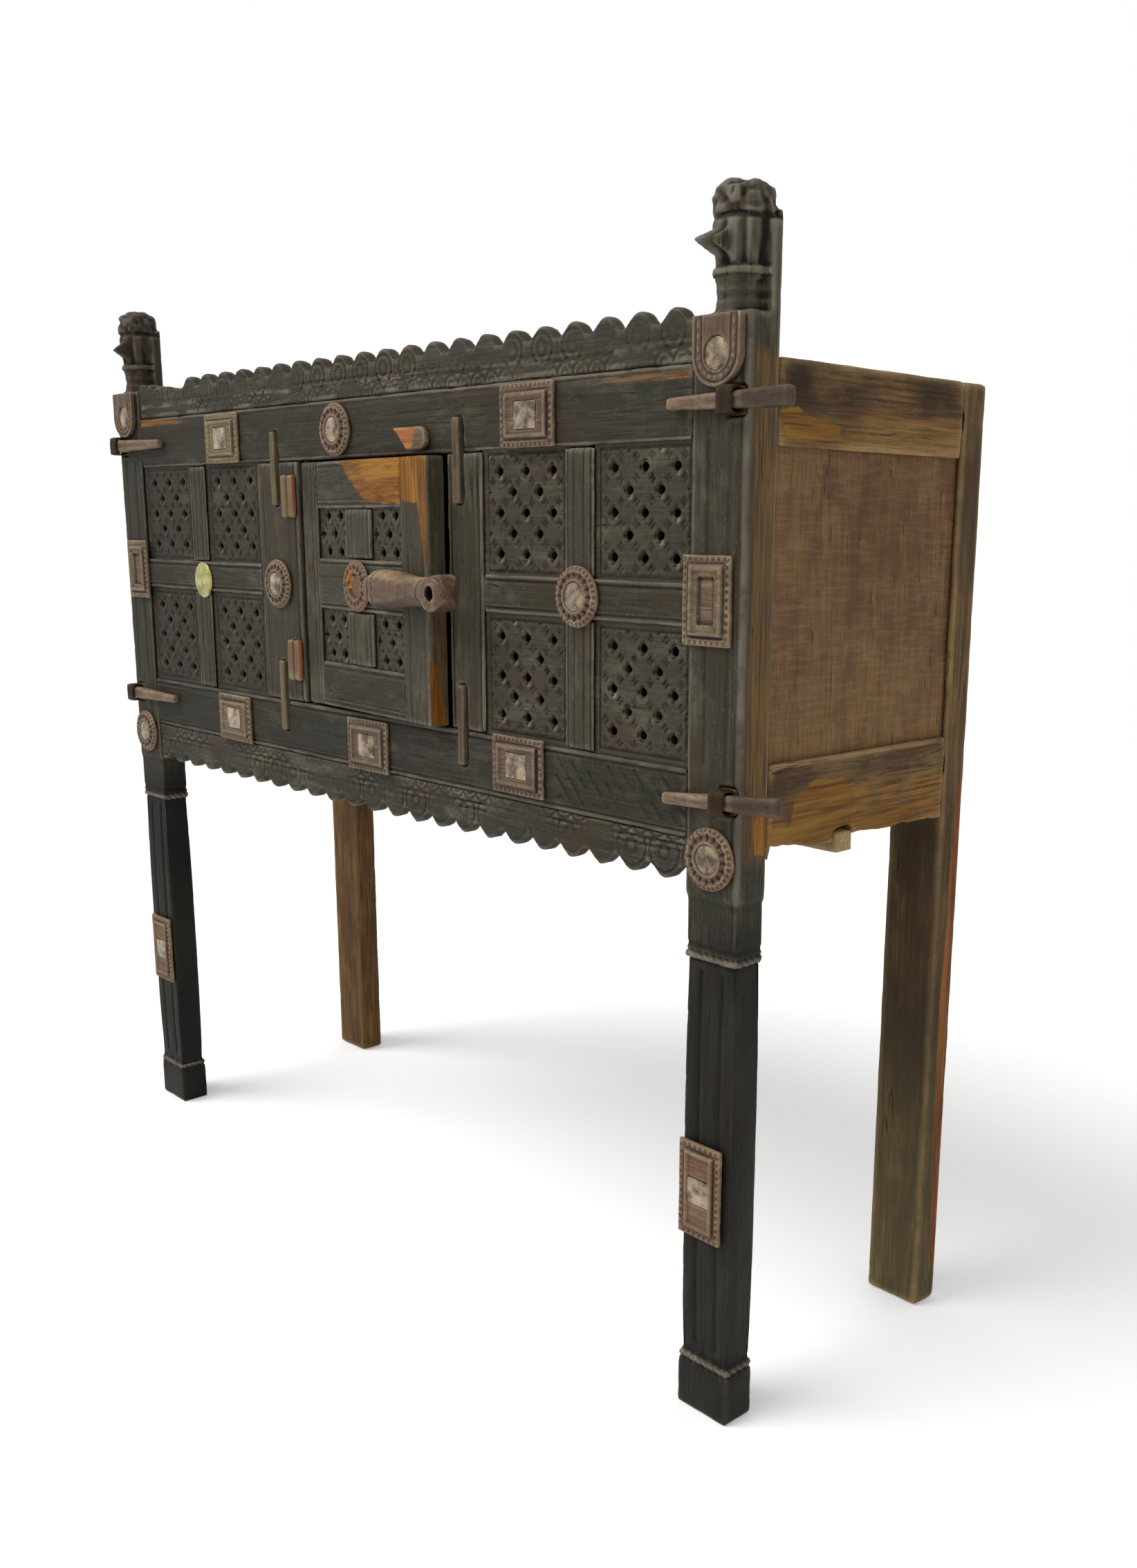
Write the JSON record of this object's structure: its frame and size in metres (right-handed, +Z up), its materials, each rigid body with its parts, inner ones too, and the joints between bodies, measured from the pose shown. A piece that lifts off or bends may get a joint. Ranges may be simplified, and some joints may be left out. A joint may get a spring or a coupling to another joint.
{
  "type": "dowry chest",
  "caption": "Carved wooden dowry chest on four tall legs, with mirror-set plaques, pierced front panels, a pivot-hung door and a sliding door bolt.",
  "frame": {"origin": "on the floor, under the middle of the bounding box of the chest with its door ajar", "axes": "+X to the right along the front as seen by a person facing it, +Y from the front to the back, +Z up"},
  "size_m": [1.2765, 0.4336, 1.186],
  "materials": {
    "carved_wood": "worn, dark",
    "plain_wood": "aged, unpolished",
    "fitting_wood": "worn, brown",
    "bolt_wood": "hand-polished",
    "mirror": "clouded",
    "iron": "rusted"
  },
  "bodies": {
    "carcass": {"front_left_post": "carved_wood", "front_right_post": "carved_wood", "back_left_leg": "plain_wood", "back_right_leg": "plain_wood", "front_top_rail": "carved_wood", "front_bottom_rail": "carved_wood", "crest_board": "carved_wood", "apron_board": "carved_wood", "left_jamb": "carved_wood", "right_jamb": "carved_wood", "left_mid_rail": "carved_wood", "right_mid_rail": "carved_wood", "left_muntins": "carved_wood", "right_muntins": "carved_wood", "left_grilles": "carved_wood", "right_grilles": "carved_wood", "left_end_top_rail": "plain_wood", "right_end_top_rail": "plain_wood", "left_end_bottom_rail": "plain_wood", "right_end_bottom_rail": "plain_wood", "left_end_panel": "plain_wood", "right_end_panel": "plain_wood", "back_top_rail": "plain_wood", "back_bottom_rail": "plain_wood", "back_boards": "plain_wood", "top_boards": "plain_wood", "floor_boards": "plain_wood", "upper_bearers": "plain_wood", "lower_bearers": "plain_wood", "floor_batten": "plain_wood", "top_nails": "iron", "corner_keys": "carved_wood", "joint_keys": "carved_wood", "square_plaques": "fitting_wood", "shield_plaques": "fitting_wood", "post_plaques": "fitting_wood", "leg_plaques": "fitting_wood", "round_bosses": "fitting_wood", "mirrors": "mirror", "hinge_lugs": "fitting_wood", "lintel_block": "fitting_wood"},
    "door": {"door_hinge_stile": "carved_wood", "door_lock_stile": "carved_wood", "door_top_rail": "carved_wood", "door_mid_rail": "carved_wood", "door_bottom_rail": "carved_wood", "door_muntins": "carved_wood", "door_grilles": "carved_wood", "door_boss": "fitting_wood"},
    "latch": {"bolt": "bolt_wood"}
  },
  "joints": [
    {"name": "door_hinge", "type": "hinge", "parent": "carcass", "child": "door", "pos_m": [-0.1385, -0.14167, 0.82], "axis": [0, 0, -1], "range_deg": [-5, 90]},
    {"name": "bolt_slide", "type": "slide", "parent": "door", "child": "latch", "axis": [0.9962, -0.0872, 0], "range_m": [-0.018, 0]}
  ]
}
